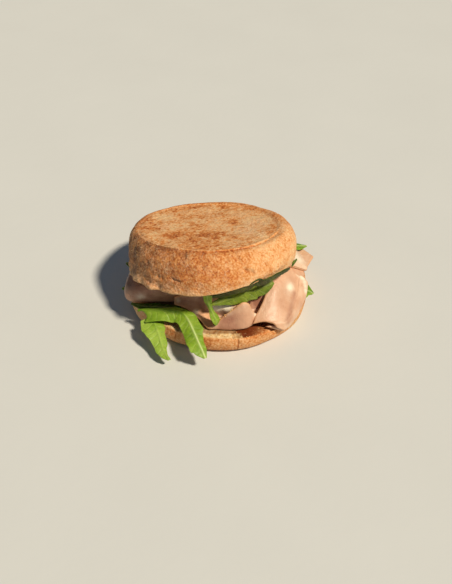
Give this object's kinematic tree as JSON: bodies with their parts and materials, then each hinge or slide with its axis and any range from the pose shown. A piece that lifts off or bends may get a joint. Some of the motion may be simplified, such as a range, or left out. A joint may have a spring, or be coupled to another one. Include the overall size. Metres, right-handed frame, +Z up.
{
  "type": "ham and salad muffin sandwich",
  "caption": "Split floured muffin filled with folded ham slices and salad leaves, its lid tipped up at the front on the filling.",
  "frame": {"origin": "centre of the flat foot of the lower muffin half, on the surface it rests on", "axes": "+Z up, -Y to the open front where the lid is raised, +X to the right as seen from the front"},
  "size_m": [0.1029, 0.1085, 0.0549],
  "materials": {
    "muffin": "matt floured crust, mottled brown",
    "ham": "moist, smooth, softly shining",
    "leaf": "satin green with a pale midrib"
  },
  "bodies": {
    "root": {"muffin_bottom": "muffin", "muffin_top": "muffin", "ham_left": "ham", "ham_middle": "ham", "ham_corner": "ham", "ham_right": "ham", "ham_center": "ham", "leaf_front": "leaf", "leaf_left": "leaf", "leaf_behind": "leaf", "leaf_center": "leaf", "leaf_under": "leaf", "leaf_top": "leaf", "leaf_right_top": "leaf", "leaf_right_low": "leaf", "leaf_left_tip": "leaf", "leaf_left_back": "leaf"}
  },
  "joints": []
}
